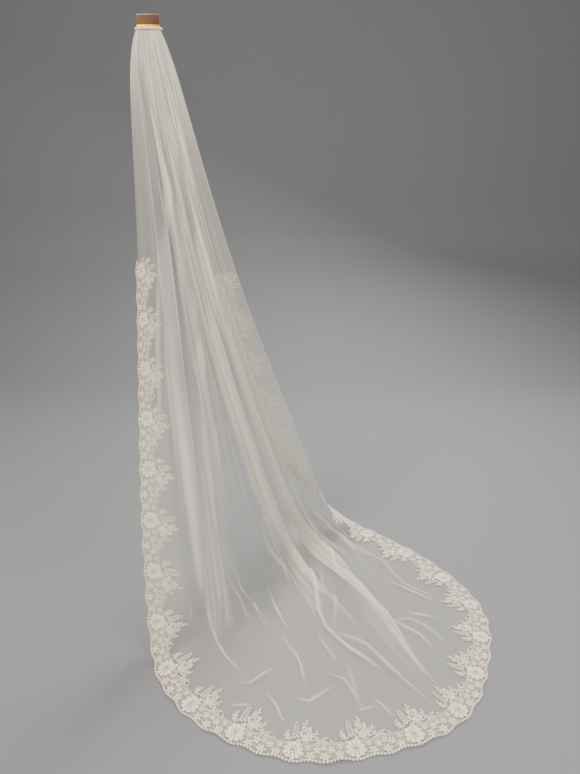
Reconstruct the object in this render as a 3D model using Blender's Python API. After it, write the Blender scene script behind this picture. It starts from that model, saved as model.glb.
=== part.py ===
"""Cathedral bridal veil, hung by its hair comb, with its train spread on the floor.

One width of tulle is gathered into a satin binding on the back of a comb. It falls in folds to the
floor and spreads in a round train. A scalloped lace border with leaf sprays runs down the lower part
of both sides and all round the hem.

Metres, +Z up. The origin is the middle of the comb's back, where the comb is held. The comb runs
along X, the outer face of the veil looks to -Y, and the train sweeps forwards and to the right.
"""

import math

import bpy
import numpy as np
from mathutils import Vector
from mathutils.geometry import delaunay_2d_cdt

# Driving dimensions of the cloth
COMB_HEIGHT = 2.03
TULLE_WIDTH = 1.50
HEM_LENGTH = 2.48
TULLE_WALL = 0.0012
SEAM_GAP = 0.0003

# The comb
COMB_WIDTH = 0.079
COMB_TALL = 0.040
COMB_BAR = 0.008
COMB_THICK = 0.0026
COMB_BEND = 0.004
TEETH = 19
TOOTH_WIDTH = 0.0026
END_TOOTH_WIDTH = 0.0042
TOOTH_TIP_WIDTH = 0.0012

# The binding over the gathers
BINDING_WIDTH = 0.097
BINDING_TALL = 0.009
BINDING_DEPTH = 0.019
BINDING_TOP = 0.00432
BINDING_SECTIONS = 11
BINDING_SIDES = 10
CORNER_POWER = 0.6
END_POWER = 8
END_SIZE = 0.25

# The lace border, measured along the cloth's edge and inwards from it
LACE_REPEAT = 0.1725
LACE_HEM_REPEATS = 13
LACE_SIDE_REPEATS = 8
LACE_SPARE_REPEATS = 3
LACE_WALL = 0.0012
LACE_CLEAR = 0.0009
LACE_DEPTH = 0.125
LACE_STEP = 0.005
LACE_SMOOTHING = 1.4
LIFT_SHARE = 1.25
FOLD_CLEAR = 0.004
FLAT_UNTIL = 1.2
FLOWER_CENTRE = 0.019
FLOWER_RADIUS = 0.026
FLOWER_SIDES = 6
FLOWER_RISE = 0.0018

# How the cloth turns from the fall onto the floor
BEND_ABOVE = 0.10
BEND_ALONG = 0.17
BEND_SHARE = 0.6

# The puff below the binding, where the gathers spread: how far it stands out to the side and to the
# back, and where it is widest
PUFF_SIDE = 0.0198
PUFF_BACK = 0.0044
PUFF_PLACE = 0.10

# The folds: the steepest turn of a fold, in radians, while hanging and under the binding
FULL_TURN = 1.65
GATHER_TURN = 1.0

# Places down the veil, where 1 is the floor: where the folds are full, where they lean fully, and where
# they begin and end to lie over. A fold fades on the floor from FADE_START of its reach.
FULL_FROM = 0.3
LEAN_FROM = 0.25
LAY_START = 0.80
LAY_END = 1.15
FADE_START = 0.35
LEVEL_UNTIL = 0.1

# How far down the fall the low columns of STATIONS lie, where 1 is the floor, and where they begin
# to act
LOW_PLACE = 0.8
LOW_START = 0.4

# Each row is one line down the veil. share: of the width at the binding. The other columns are where
# the line passes at the binding, halfway down, low down, where it meets the floor and at the hem.
STATIONS = (
    # share, binding_x, binding_y, half_x, half_y, low_x, low_y, floor_x, floor_y, hem_x, hem_y
    (0.00, -0.043, 0.003, -0.018, -0.345, 0.013, -0.600, 0.040, -0.735, 0.102, -0.882),
    (0.05, -0.040, 0.003, 0.030, -0.390, 0.072, -0.612, 0.099, -0.745, 0.150, -0.945),
    (0.10, -0.036, 0.003, 0.078, -0.432, 0.130, -0.625, 0.158, -0.745, 0.200, -1.000),
    (0.14, -0.033, 0.003, 0.114, -0.462, 0.177, -0.630, 0.212, -0.720, 0.243, -1.035),
    (0.20, -0.027, 0.003, 0.145, -0.402, 0.235, -0.560, 0.290, -0.645, 0.330, -1.088),
    (0.29, -0.018, 0.003, 0.160, -0.338, 0.282, -0.450, 0.370, -0.490, 0.510, -1.150),
    (0.42, -0.007, 0.003, 0.190, -0.295, 0.338, -0.343, 0.450, -0.320, 0.782, -1.124),
    (0.50, 0.001, 0.003, 0.213, -0.275, 0.372, -0.291, 0.492, -0.238, 0.935, -1.068),
    (0.58, 0.009, 0.003, 0.238, -0.255, 0.404, -0.249, 0.527, -0.177, 1.042, -0.985),
    (0.66, 0.018, 0.003, 0.264, -0.235, 0.434, -0.213, 0.564, -0.130, 1.122, -0.850),
    (0.75, 0.028, 0.003, 0.292, -0.212, 0.480, -0.178, 0.624, -0.086, 1.196, -0.640),
    (0.82, 0.036, 0.003, 0.333, -0.195, 0.545, -0.128, 0.680, -0.050, 1.190, -0.480),
    (0.86, 0.040, 0.004, 0.357, -0.172, 0.578, -0.088, 0.708, -0.024, 1.155, -0.385),
    (0.90, 0.041, 0.005, 0.349, -0.130, 0.562, -0.052, 0.724, 0.014, 1.108, -0.300),
    (0.95, 0.038, 0.006, 0.304, -0.092, 0.502, -0.036, 0.736, 0.056, 1.055, -0.220),
    (1.00, 0.034, 0.008, 0.262, -0.052, 0.440, -0.022, 0.742, 0.096, 1.000, -0.150),
)

# Each row is one fold, from the left edge to the right. share: of the width it takes up. lean: how far
# it leans over while hanging, and lay: how far it lies over on the floor, in degrees, to the right.
# reach: how far over the floor it runs, where 1 is the hem. full: its depth, where 1 is a plain fold.
FOLDS = (
    # share, lean, lay, reach, full
    (0.120, 0.0, 0.0, 0.05, 0.0),
    (0.045, 4.0, 30.0, 0.30, 0.8),
    (0.055, 0.0, 40.0, 0.30, 1.0),
    (0.050, 8.0, 42.0, 0.25, 0.9),
    (0.065, -4.0, 42.0, 0.35, 1.0),
    (0.055, 4.0, 42.0, 0.30, 0.8),
    (0.070, -6.0, 45.0, 0.40, 1.0),
    (0.070, 8.0, 48.0, 0.85, 1.0),
    (0.105, 12.0, 50.0, 0.85, 1.0),
    (0.070, -4.0, 44.0, 0.45, 0.9),
    (0.050, 6.0, 40.0, 0.35, 0.9),
    (0.060, 4.0, 45.0, 0.60, 1.0),
    (0.040, 0.0, 36.0, 0.30, 0.7),
    (0.145, 0.0, 0.0, 0.05, 0.0),
)

# Each row is a corner of one lace repeat, in millimetres from the flower's middle along the edge and
# from the cloth's edge inwards, in order from left to right along each side.
LACE_OUTSIDE = (
    # along, inwards
    (-86.25, -7.0),
    (-66.0, -11.0),
    (-45.0, -8.0),
    (-30.0, -9.0),
    (-13.0, -14.0),
    (13.0, -14.0),
    (30.0, -9.0),
    (45.0, -8.0),
    (66.0, -11.0),
    (86.25, -7.0),
)
LACE_INSIDE = (
    # along, inwards
    (-86.25, 37.0),
    (-48.0, 39.0),
    (-39.0, 58.0),
    (-32.0, 86.0),
    (-21.0, 68.0),
    (-14.0, 60.0),
    (-8.0, 106.0),
    (6.0, 103.0),
    (12.0, 82.0),
    (21.0, 114.0),
    (33.0, 119.0),
    (37.0, 91.0),
    (53.0, 96.0),
    (49.0, 79.0),
    (62.0, 77.0),
    (69.0, 53.0),
    (80.0, 44.0),
    (86.25, 37.0),
)

# Each row is one open gap of a lace repeat: its middle, its length along the edge and its height.
LACE_GAPS = (
    # along, inwards, long, high
    (-58.0, 10.0, 9.0, 7.0),
    (-52.0, 27.0, 8.0, 5.5),
    (58.0, 10.0, 9.0, 7.0),
    (56.0, 29.0, 8.0, 5.5),
    (-2.0, 82.0, 6.0, 15.0),
)

# Where the lace ends at the top of each side: just past the first and the last flower.
LACE_LEFT_END = ((-30.0, -9.0), (-34.0, 20.0), (-39.0, 58.0))
LACE_RIGHT_END = ((30.0, -9.0), (37.0, 20.0), (49.0, 79.0))

# Each row is one stretch of the lace border and how many repeats it has, from the left to the right.
LACE_STRETCHES = (
    # name, repeats
    ("lace_left_fall", 8),
    ("lace_train_left", 4),
    ("lace_train_front", 5),
    ("lace_train_right", 4),
    ("lace_right_fall", 8),
)

# Where the hem's first flower is, one on the right and its last one: the number and the distance along
# the hem from the left corner. Flowers on the sides follow at the plain repeat.
LACE_FLOWERS = (
    # number, distance
    (0, -0.037),
    (10, 1.759),
    (12, 2.190),
)

# Where down the fall the lace's edge line starts, above the first flowers, and its points a side
LACE_LINE_START = 0.18
LINE_POINTS = 800

# Rows of the cloth's mesh: lengths down the fall (0 to 1) and over the floor (1 to 2)
COLUMNS_PER_SHARE = 90
FOLD_COLUMNS = 6
FLAT_COLUMNS = 7
FALL_ROWS = (0.0, 0.03, 0.08, 0.16, 0.26, 0.37, 0.49, 0.61, 0.73, 0.83, 0.90, 0.95)
FLOOR_ROWS = (1.0, 1.05, 1.12, 1.21, 1.32, 1.44, 1.56, 1.68, 1.80, 1.91, 2.0)


def clear_scene():
    """Removes every object, so that the file can be run again."""
    for thing in list(bpy.data.objects):
        bpy.data.objects.remove(thing)


def painted(name, colour, roughness, metallic=0.0):
    """A plain Principled material."""
    material = bpy.data.materials.new(name)
    material.use_nodes = True
    shader = material.node_tree.nodes["Principled BSDF"]
    shader.inputs["Base Color"].default_value = (*colour, 1.0)
    shader.inputs["Roughness"].default_value = roughness
    shader.inputs["Metallic"].default_value = metallic
    return material


def placed(name, mesh, material):
    """A new object in the scene that holds the mesh."""
    mesh.materials.append(material)
    thing = bpy.data.objects.new(name, mesh)
    bpy.context.scene.collection.objects.link(thing)
    return thing


def eased(low, high, value):
    """0 up to low and 1 from high, with a smooth rise between."""
    share = np.clip((value - low) / (high - low), 0.0, 1.0)
    return share * share * (3.0 - 2.0 * share)


def smooth_through(at, known_at, known):
    """A smooth curve through the known values, one column for each measure."""
    known_at = np.asarray(known_at, float)
    known = np.asarray(known, float)
    slopes = np.gradient(known, known_at, axis=0)
    right = np.clip(np.searchsorted(known_at, at, side="right"), 1, len(known_at) - 1)
    left = right - 1
    span = known_at[right] - known_at[left]
    step = ((at - known_at[left]) / span)[..., None]
    span = span[..., None]
    start = known[left] * (1 + 2 * step) * (1 - step) ** 2 + slopes[left] * span * step * (1 - step) ** 2
    end = known[right] * step**2 * (3 - 2 * step) + slopes[right] * span * step**2 * (step - 1)
    return start + end


def bessel(order, value):
    """The Bessel function of the first kind, by its series."""
    total = np.zeros_like(value)
    for term in range(14):
        sign = (-1) ** term / (math.factorial(term) * math.factorial(term + order))
        total = total + sign * (value / 2) ** (2 * term + order)
    return total


TURN_ANGLES = np.linspace(0.0, 2.2, 120)
TURN_TAKE_UP = bessel(0, TURN_ANGLES)


def turn_for(take_up, most):
    """How steeply a fold turns, in radians, for the share of its cloth that it spans sideways."""
    return np.minimum(np.interp(-take_up, -TURN_TAKE_UP, TURN_ANGLES), most)


def through_half(top, half, touch, share):
    """The curve with one bend from top to touch, which passes half in its middle."""
    ends = top * (1 - share) * (1 - 2 * share) + touch * share * (2 * share - 1)
    return ends + 4 * half * share * (1 - share)


def middle_surface(across, down):
    """Points of the veil before it is folded. across: 0 to 1 from the left edge. down: 0 at the
    binding, 1 where the fall meets the floor, 2 at the hem."""
    table = np.array(STATIONS)
    rows = smooth_through(across, table[:, 0], table[:, 1:])
    top, half, low, touch, hem = (rows[..., i : i + 2] for i in range(0, 10, 2))
    run = np.linalg.norm(hem - touch, axis=-1)
    bend_end = 1.0 + np.minimum(BEND_ALONG / np.maximum(run, 1e-6), BEND_SHARE)
    bend_start = 1.0 - BEND_ABOVE

    def fall(share):
        share = share[..., None]
        near_low = eased(LOW_START, LOW_PLACE, share) * (1 - eased(LOW_PLACE, 1.0, share))
        plan = through_half(top, half, touch, share)
        plan = plan + (low - through_half(top, half, touch, LOW_PLACE)) * near_low
        spread = share / PUFF_PLACE * np.exp(1 - share / PUFF_PLACE)
        plan = plan + spread * (2 * across[..., None] - 1) * np.array([PUFF_SIDE, PUFF_BACK])
        height = -BINDING_TALL - SEAM_GAP - (COMB_HEIGHT - BINDING_TALL) * share
        return np.concatenate([plan, height], axis=-1)

    def floor(share):
        share = share[..., None] - 1.0
        plan = touch + (hem - touch) * share
        return np.concatenate([plan, np.full_like(share, -COMB_HEIGHT - SEAM_GAP)], axis=-1)

    start, corner, end = fall(np.full_like(down, bend_start)), floor(np.ones_like(down)), floor(bend_end)
    along = np.clip((down - bend_start) / (bend_end - bend_start), 0.0, 1.0)[..., None]
    bent = start * (1 - along) ** 2 + 2 * corner * along * (1 - along) + end * along**2
    hanging = (down < bend_start)[..., None]
    lying = (down > bend_end)[..., None]
    return np.where(hanging, fall(np.minimum(down, 1.0)), np.where(lying, floor(down), bent))


def surface_frame(across, down):
    """The middle surface's points, its direction across, its outward direction and its width."""
    step = 1e-3
    here = middle_surface(across, down)
    side = (middle_surface(across + step, down) - middle_surface(across - step, down)) / (2 * step)
    along = (middle_surface(across, down + step) - middle_surface(across, down - step)) / (2 * step)
    out = np.cross(side, along)
    out = -out / np.maximum(np.linalg.norm(out, axis=-1, keepdims=True), 1e-12)
    wide = np.linalg.norm(side, axis=-1)
    return here, side / np.maximum(wide, 1e-9)[..., None], out, wide


def fold_at(across):
    """The fold's row for each place across, and how far through the fold the place is, 0 to 1."""
    table = np.array(FOLDS)
    table[:, 0] /= table[:, 0].sum()
    ends = np.concatenate([[0.0], np.cumsum(table[:, 0])])
    which = np.clip(np.searchsorted(ends, across, side="right") - 1, 0, len(table) - 1)
    return table[which], (across - ends[which]) / table[which, 0]


def cloth_points(across, down):
    """Points of the folded cloth's middle, and its outward directions.

    A fold is the curve that a pushed sheet takes: its direction swings to and fro, as far as the
    spare cloth needs. Its valleys lie on the middle surface and its crest stands out of it."""
    across = np.asarray(across, float)
    down = np.asarray(down, float)
    here, side, out, wide = surface_frame(across, down)
    row, through = fold_at(across)
    share, lean, lay, reach, full = (row[..., i] for i in range(5))
    over_floor = np.clip(down - 1.0, 0.0, 1.0)
    cloth = TULLE_WIDTH + (HEM_LENGTH - TULLE_WIDTH) * over_floor
    most = GATHER_TURN + (FULL_TURN - GATHER_TURN) * eased(0.0, FULL_FROM, down)
    take_up = np.clip(wide / cloth, 0.0, 1.0)
    turn = turn_for(take_up, most)
    turn = turn * full * (1.0 - eased(FADE_START, 1.0, over_floor / reach))
    length = np.minimum(cloth, wide / np.interp(most, TURN_ANGLES, TURN_TAKE_UP)) * share / (2 * math.pi)
    angle = 2 * math.pi * through
    sideways = length * (bessel(2, turn) * np.sin(2 * angle) + bessel(4, turn) / 2 * np.sin(4 * angle))
    outwards = length * (
        2 * bessel(1, turn) * (1 - np.cos(angle)) + 2 / 3 * bessel(3, turn) * (1 - np.cos(3 * angle))
    )
    tilt = np.radians(lean + (lay - lean) * eased(LAY_START, LAY_END, down))
    tilt = tilt * eased(0.0, LEAN_FROM, down)
    level = np.array([1.0, 1.0, 0.0]) + np.array([0.0, 0.0, 1.0]) * eased(0.0, LEVEL_UNTIL, down)[..., None]
    moved = (sideways + outwards * np.sin(tilt))[..., None] * side * level
    return here + moved + (outwards * np.cos(tilt))[..., None] * out * level


def grid_of_cloth():
    """The places across and down where the cloth's mesh has its points."""
    columns = []
    table = np.array(FOLDS)
    shares = table[:, 0] / table[:, 0].sum()
    start = 0.0
    for share, full in zip(shares, table[:, 4]):
        pieces = FLAT_COLUMNS if full == 0.0 else max(FOLD_COLUMNS, round(share * COLUMNS_PER_SHARE))
        columns.extend(start + share * np.arange(pieces) / pieces)
        start += share
    columns.append(1.0)
    return np.array(columns), np.array(FALL_ROWS + FLOOR_ROWS)


def outward_at_points(points):
    """The outward direction at each point of a grid of points."""
    side = np.gradient(points, axis=0)
    along = np.gradient(points, axis=1)
    out = -np.cross(side, along)
    return out / np.maximum(np.linalg.norm(out, axis=-1, keepdims=True), 1e-12)


def wall_between(outer, inner, triangles, rim):
    """A closed mesh between two like sheets of points: both faces and a wall along the rim."""
    back = len(outer)
    faces = [tuple(corners) for corners in triangles]
    faces += [tuple(back + corner for corner in reversed(corners)) for corners in triangles]
    for here, there in rim:
        faces.append((here, back + here, back + there))
        faces.append((here, back + there, there))
    mesh = bpy.data.meshes.new("wall")
    mesh.from_pydata(np.concatenate([outer, inner]).tolist(), [], faces)
    return mesh


def rim_of(triangles):
    """The edges that only one triangle has, each in that triangle's own direction."""
    edges = {}
    for a, b, c in triangles:
        for edge in ((a, b), (b, c), (c, a)):
            edges[edge] = True
    return [(a, b) for a, b in edges if (b, a) not in edges]


def grid_triangles(wide, tall):
    """Triangles over a grid of points, which face outwards."""
    triangles = []
    for i in range(wide - 1):
        for j in range(tall - 1):
            a, b = i * tall + j, i * tall + j + 1
            c, d = (i + 1) * tall + j + 1, (i + 1) * tall + j
            triangles += [(a, b, c), (a, c, d)]
    return triangles


def tulle_panel():
    """The tulle: one wall, from the binding to the hem. It returns its outer face too, for the lace."""
    columns, rows = grid_of_cloth()
    across, down = np.meshgrid(columns, rows, indexing="ij")
    middle = cloth_points(across, down)
    outer = middle + outward_at_points(middle) * TULLE_WALL
    outer[:, 0, 2] = middle[:, 0, 2]
    triangles = grid_triangles(len(columns), len(rows))
    mesh = wall_between(outer.reshape(-1, 3), middle.reshape(-1, 3), triangles, rim_of(triangles))
    placed("tulle_panel", mesh, painted("ivory tulle", (0.80, 0.76, 0.68), 0.6))
    return columns, rows, outer, outward_at_points(outer)


def on_outer_face(tulle, across, down):
    """Points that lie exactly in the triangles of the tulle's outer face, and the outward directions."""
    columns, rows, outer, outward = tulle
    i = np.clip(np.searchsorted(columns, across, side="right") - 1, 0, len(columns) - 2)
    j = np.clip(np.searchsorted(rows, down, side="right") - 1, 0, len(rows) - 2)
    u = ((across - columns[i]) / (columns[i + 1] - columns[i]))[:, None]
    v = ((down - rows[j]) / (rows[j + 1] - rows[j]))[:, None]
    found = []
    for grid in (outer, outward):
        first, under, far, beside = grid[i, j], grid[i, j + 1], grid[i + 1, j + 1], grid[i + 1, j]
        lower = first + v * (under - first) + u * (far - under)
        upper = first + u * (beside - first) + v * (far - beside)
        found.append(np.where(v >= u, lower, upper))
    return found[0], found[1] / np.linalg.norm(found[1], axis=-1, keepdims=True)


def border_of_cloth():
    """Places along the cloth's cut edge, from the left side round the hem to the right side, and the
    distance along the edge to each. It is 0 at the left corner and ends at the right corner."""
    side = np.linspace(LACE_LINE_START, 2.0, LINE_POINTS)
    hem = np.linspace(0.0, 1.0, LINE_POINTS)
    across = np.concatenate([np.zeros(len(side)), hem[1:-1], np.ones(len(side))])
    down = np.concatenate([side, np.full(len(hem) - 2, 2.0), side[::-1]])
    steps = np.linalg.norm(np.diff(middle_surface(across, down), axis=0), axis=-1)
    distance = np.concatenate([[0.0], np.cumsum(steps)])
    left, right = len(side) - 1, len(side) + len(hem) - 2
    return across, down, distance - distance[left], distance[right] - distance[left]


def lace_places():
    """How the lace lies on the cloth: for each distance along the edge and each depth in from it, the
    place across and down. Each row walks straight in over the unfolded cloth."""
    border_across, border_down, border_distance, hem_length = border_of_cloth()
    room = (LACE_SIDE_REPEATS + LACE_SPARE_REPEATS) * LACE_REPEAT
    distances = np.arange(-room, hem_length + room, LACE_STEP)
    depths = np.arange(0.0, LACE_DEPTH + LACE_STEP, LACE_STEP)

    def on_border(at):
        return np.interp(at, border_distance, border_across), np.interp(at, border_distance, border_down)

    across, down = on_border(distances)
    after, before = on_border(distances + LACE_STEP), on_border(distances - LACE_STEP)
    along = middle_surface(*after) - middle_surface(*before)
    _, _, out, _ = surface_frame(across, down)
    inward = np.cross(out, along)
    inward /= np.linalg.norm(inward, axis=-1, keepdims=True)
    heading = inward
    places = [(across, down)]
    for _ in depths[1:]:
        step = 1e-4
        over = (middle_surface(across + step, down) - middle_surface(across - step, down)) / (2 * step)
        under = (middle_surface(across, down + step) - middle_surface(across, down - step)) / (2 * step)
        oo, ou, uu = (over * over).sum(-1), (over * under).sum(-1), (under * under).sum(-1)
        ho, hu = (heading * over).sum(-1), (heading * under).sum(-1)
        d_across = (ho * uu - hu * ou) / (oo * uu - ou * ou)
        d_down = (hu * oo - ho * ou) / (oo * uu - ou * ou)
        moved = d_across[:, None] * over + d_down[:, None] * under
        size = np.linalg.norm(moved, axis=-1)
        heading = moved / size[:, None]
        across = np.clip(across + d_across / size * LACE_STEP, 0.0, 1.0)
        down = np.clip(down + d_down / size * LACE_STEP, 0.0, 2.0)
        places.append((across, down))
    places = np.array(places)
    for row, depth in enumerate(depths):
        reach = round(LACE_SMOOTHING * depth / LACE_STEP)
        window = np.hanning(2 * reach + 3)[1:-1]
        padded = np.pad(places[row], ((0, 0), (reach, reach)), mode="edge")
        places[row] = [np.convolve(line, window / window.sum(), mode="valid") for line in padded]
    return distances, places, inward


def lace_spots(lie, distance, depth):
    """The places across and down, and the inward directions, for points of the lace."""
    distances, places, inward = lie
    x = (distance - distances[0]) / LACE_STEP
    y = np.maximum(depth, 0.0) / LACE_STEP
    i = np.clip(x.astype(int), 0, places.shape[2] - 2)
    j = np.clip(y.astype(int), 0, places.shape[0] - 2)
    u, v = x - i, y - j
    spots = []
    for grid in (places[:, 0], places[:, 1]):
        near = grid[j, i] * (1 - u) + grid[j, i + 1] * u
        far = grid[j + 1, i] * (1 - u) + grid[j + 1, i + 1] * u
        spots.append(near * (1 - v) + far * v)
    left, right = FOLDS[0][0] - FOLD_CLEAR, 1.0 - FOLDS[-1][0] + FOLD_CLEAR
    flat = np.where(spots[0] < 0.5, np.minimum(spots[0], left), np.maximum(spots[0], right))
    spots[0] = np.where(spots[1] < FLAT_UNTIL, flat, spots[0])
    return spots[0], spots[1], inward[i] * (1 - u)[:, None] + inward[i + 1] * u[:, None]


def lace_distance(along):
    """The distance along the cloth's edge to a place counted in repeats, where 0 is the hem's first
    flower."""
    numbers, distances = zip(*LACE_FLOWERS)
    on_hem = np.clip(along, numbers[0], numbers[-1])
    return np.interp(on_hem, numbers, distances) + (along - on_hem) * LACE_REPEAT


def lace_motif():
    """One lace repeat as flat triangles: its points, in metres along and inwards, and how far each
    stands up."""
    loop = LACE_OUTSIDE + LACE_INSIDE[::-1]
    points = [(x / 1000, y / 1000) for x, y in loop]
    edges = [(i, (i + 1) % len(loop)) for i in range(len(loop))]
    for middle_x, middle_y, long, high in LACE_GAPS:
        first = len(points)
        corners = ((-long, 0), (0, -high), (long, 0), (0, high))
        points += [((middle_x + x / 2) / 1000, (middle_y + y / 2) / 1000) for x, y in corners]
        edges += [(first + i, first + (i + 1) % 4) for i in range(4)]
    first = len(points)
    for i in range(FLOWER_SIDES):
        angle = 2 * math.pi * i / FLOWER_SIDES
        points.append((FLOWER_RADIUS * math.cos(angle), FLOWER_CENTRE + FLOWER_RADIUS * math.sin(angle)))
        edges.append((first + i, first + (i + 1) % FLOWER_SIDES))
    points.append((0.0, FLOWER_CENTRE))
    for chain in (LACE_LEFT_END, LACE_RIGHT_END):
        points.append((chain[1][0] / 1000, chain[1][1] / 1000))
        edges += [(loop.index(chain[0]), len(points) - 1), (len(points) - 1, loop.index(chain[2]))]
    rises = [0.0] * first + [FLOWER_RISE * 0.5] * FLOWER_SIDES + [FLOWER_RISE, 0.0, 0.0]
    found = delaunay_2d_cdt([Vector(point) for point in points], edges, [], 0, 1e-7)
    triangles = [face for face in found[2] if inside_lace(found[0], face)]
    return np.array([tuple(point) for point in found[0]]), np.array(rises), triangles


def inside_lace(points, face):
    """Whether a triangle is lace, and neither outside the repeat's outline nor in one of its gaps."""
    x = 1000 * sum(points[corner][0] for corner in face) / 3
    y = 1000 * sum(points[corner][1] for corner in face) / 3
    low = np.interp(x, *zip(*LACE_OUTSIDE))
    crossings = 0
    for (x0, y0), (x1, y1) in zip(LACE_INSIDE, LACE_INSIDE[1:]):
        if (x0 <= x) != (x1 <= x) and y0 + (y1 - y0) * (x - x0) / (x1 - x0) > y:
            crossings += 1
    in_gap = any(abs(x - gap[0]) / gap[2] + abs(y - gap[1]) / gap[3] < 0.5 for gap in LACE_GAPS)
    return y > low and crossings % 2 == 1 and not in_gap


def lace_stretch(name, first, repeats, lie, tulle, material):
    """A stretch of the lace border, laid on the outer face of the tulle. first: the number of its
    first repeat, where 0 is the hem's first flower."""
    motif, rises, triangles = lace_motif()
    points, heights, faces, seen = [], [], [], {}
    for repeat in range(repeats):
        numbers = []
        for (x, y), rise in zip(motif, rises):
            key = (round(repeat + x / LACE_REPEAT, 5), round(y, 6))
            if key not in seen:
                seen[key] = len(points)
                points.append((first + repeat + x / LACE_REPEAT, y))
                heights.append(rise)
            numbers.append(seen[key])
        for face in triangles:
            x, y = 1000 * motif[list(face)].mean(axis=0)
            left_end = np.interp(y, *zip(*[(far, near) for near, far in LACE_LEFT_END]))
            right_end = np.interp(y, *zip(*[(far, near) for near, far in LACE_RIGHT_END]))
            before = first + repeat == -LACE_SIDE_REPEATS and x < left_end
            after = first + repeat == LACE_HEM_REPEATS + LACE_SIDE_REPEATS - 1 and x > right_end
            if not before and not after:
                faces.append(tuple(numbers[corner] for corner in face))
    used = sorted({corner for face in faces for corner in face})
    renumbered = {old: new for new, old in enumerate(used)}
    faces = [tuple(renumbered[corner] for corner in face) for face in faces]
    points, heights = [points[old] for old in used], [heights[old] for old in used]
    points, heights, faces = np.array(points), np.array(heights), np.array(faces)
    trim = SEAM_GAP / 2 / LACE_REPEAT
    along = np.clip(points[:, 0], first - 0.5 + trim, first + repeats - 0.5 - trim)
    distance = lace_distance(along)
    across, down, inward = lace_spots(lie, distance, points[:, 1])
    ground, out = on_outer_face(tulle, across, down)
    lift = np.zeros(len(points))
    for here, there in ((0, 1), (1, 2), (2, 0)):
        a, b = faces[:, here], faces[:, there]
        for share in (0.2, 0.4, 0.6, 0.8):
            place = (across[a] * (1 - share) + across[b] * share, down[a] * (1 - share) + down[b] * share)
            cloth, normal = on_outer_face(tulle, *place)
            chord = ground[a] * (1 - share) + ground[b] * share
            need = ((cloth - chord) * normal).sum(-1)
            np.maximum.at(lift, a, need)
            np.maximum.at(lift, b, need)
    ground = ground + inward * np.minimum(points[:, 1], 0.0)[:, None]
    lift = lift * LIFT_SHARE
    inner = ground + out * (LACE_CLEAR + lift)[:, None]
    outer = ground + out * (LACE_CLEAR + lift + LACE_WALL + heights)[:, None]
    faces = [tuple(face) for face in faces.tolist()]
    mesh = wall_between(outer, inner, faces, rim_of(faces))
    placed(name, mesh, material)


def lace_border(tulle):
    """The lace border in its stretches, with one seam gap between each two."""
    material = painted("ivory lace", (0.86, 0.80, 0.68), 0.75)
    lie = lace_places()
    first = -LACE_SIDE_REPEATS
    for name, repeats in LACE_STRETCHES:
        lace_stretch(name, first, repeats, lie, tulle, material)
        first += repeats


def bent_back(x):
    """How far the comb and its binding bend back at a place along them."""
    return COMB_BEND * (2 * x / COMB_WIDTH) ** 2


def binding():
    """The satin binding: a round-edged bar over the gathers, flat below, with round ends."""
    rings = []
    for x_share in np.sin(np.linspace(-0.5, 0.5, BINDING_SECTIONS) * math.pi):
        end = abs(x_share)
        size = math.sqrt(max(0.0, 1.0 - end**END_POWER)) * (1 - END_SIZE) + END_SIZE
        x = x_share * BINDING_WIDTH / 2
        ring = []
        for side in range(BINDING_SIDES):
            angle = 2 * math.pi * (side + 0.5) / BINDING_SIDES
            y = math.copysign(abs(math.cos(angle)) ** CORNER_POWER, math.cos(angle)) * BINDING_DEPTH / 2
            z = math.copysign(abs(math.sin(angle)) ** CORNER_POWER, math.sin(angle)) * BINDING_TALL / 2
            top = min(z * size, BINDING_TOP)
            ring.append((x, y * size + bent_back(x), (z if z < 0 else top) - BINDING_TALL / 2))
        rings.append(ring)
    points = [point for ring in rings for point in ring]
    faces = []
    for i in range(BINDING_SECTIONS - 1):
        for side in range(BINDING_SIDES):
            here, there = i * BINDING_SIDES + side, i * BINDING_SIDES + (side + 1) % BINDING_SIDES
            faces.append((here, there, there + BINDING_SIDES, here + BINDING_SIDES))
    faces.append(tuple(reversed(range(BINDING_SIDES))))
    faces.append(tuple(range(len(points) - BINDING_SIDES, len(points))))
    mesh = bpy.data.meshes.new("binding")
    mesh.from_pydata(points, [], faces)
    for face in mesh.polygons:
        face.use_smooth = True
    placed("header_binding", mesh, painted("cream satin", (0.93, 0.88, 0.77), 0.35))


def comb_outline():
    """The comb's outline seen from the front: a bar below, and teeth that narrow to blunt tips."""
    half = COMB_WIDTH / 2
    pitch = (COMB_WIDTH - END_TOOTH_WIDTH) / (TEETH - 1)
    foot, top = SEAM_GAP, SEAM_GAP + COMB_TALL
    outline = [(-half, foot), (-half / 3, foot), (half / 3, foot), (half, foot)]
    for tooth in reversed(range(TEETH)):
        x = -half + END_TOOTH_WIDTH / 2 + tooth * pitch
        wide = END_TOOTH_WIDTH if tooth in (0, TEETH - 1) else TOOTH_WIDTH
        outline += [
            (x + wide / 2, foot + COMB_BAR),
            (x + TOOTH_TIP_WIDTH / 2, top),
            (x - TOOTH_TIP_WIDTH / 2, top),
            (x - wide / 2, foot + COMB_BAR),
        ]
    return outline


def hair_comb():
    """The comb above the binding, bent back a little towards its ends."""
    outline = comb_outline()
    edges = [(i, (i + 1) % len(outline)) for i in range(len(outline))]
    found = delaunay_2d_cdt([Vector(point) for point in outline], edges, [], 1, 1e-7)
    triangles = []
    for face in found[2]:
        x = sum(found[0][corner][0] for corner in face) / 3
        z = sum(found[0][corner][1] for corner in face) / 3
        if in_outline(x, z, outline):
            triangles.append(tuple(face))
    flat = np.array([tuple(point) for point in found[0]])
    back = np.array([bent_back(x) for x in flat[:, 0]])
    front = np.stack([flat[:, 0], back - COMB_THICK / 2, flat[:, 1]], axis=1)
    rear = front + np.array([0.0, COMB_THICK, 0.0])
    mesh = wall_between(front, rear, triangles, rim_of(triangles))
    placed("hair_comb", mesh, painted("amber comb", (0.48, 0.25, 0.07), 0.3, 0.6))


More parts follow.
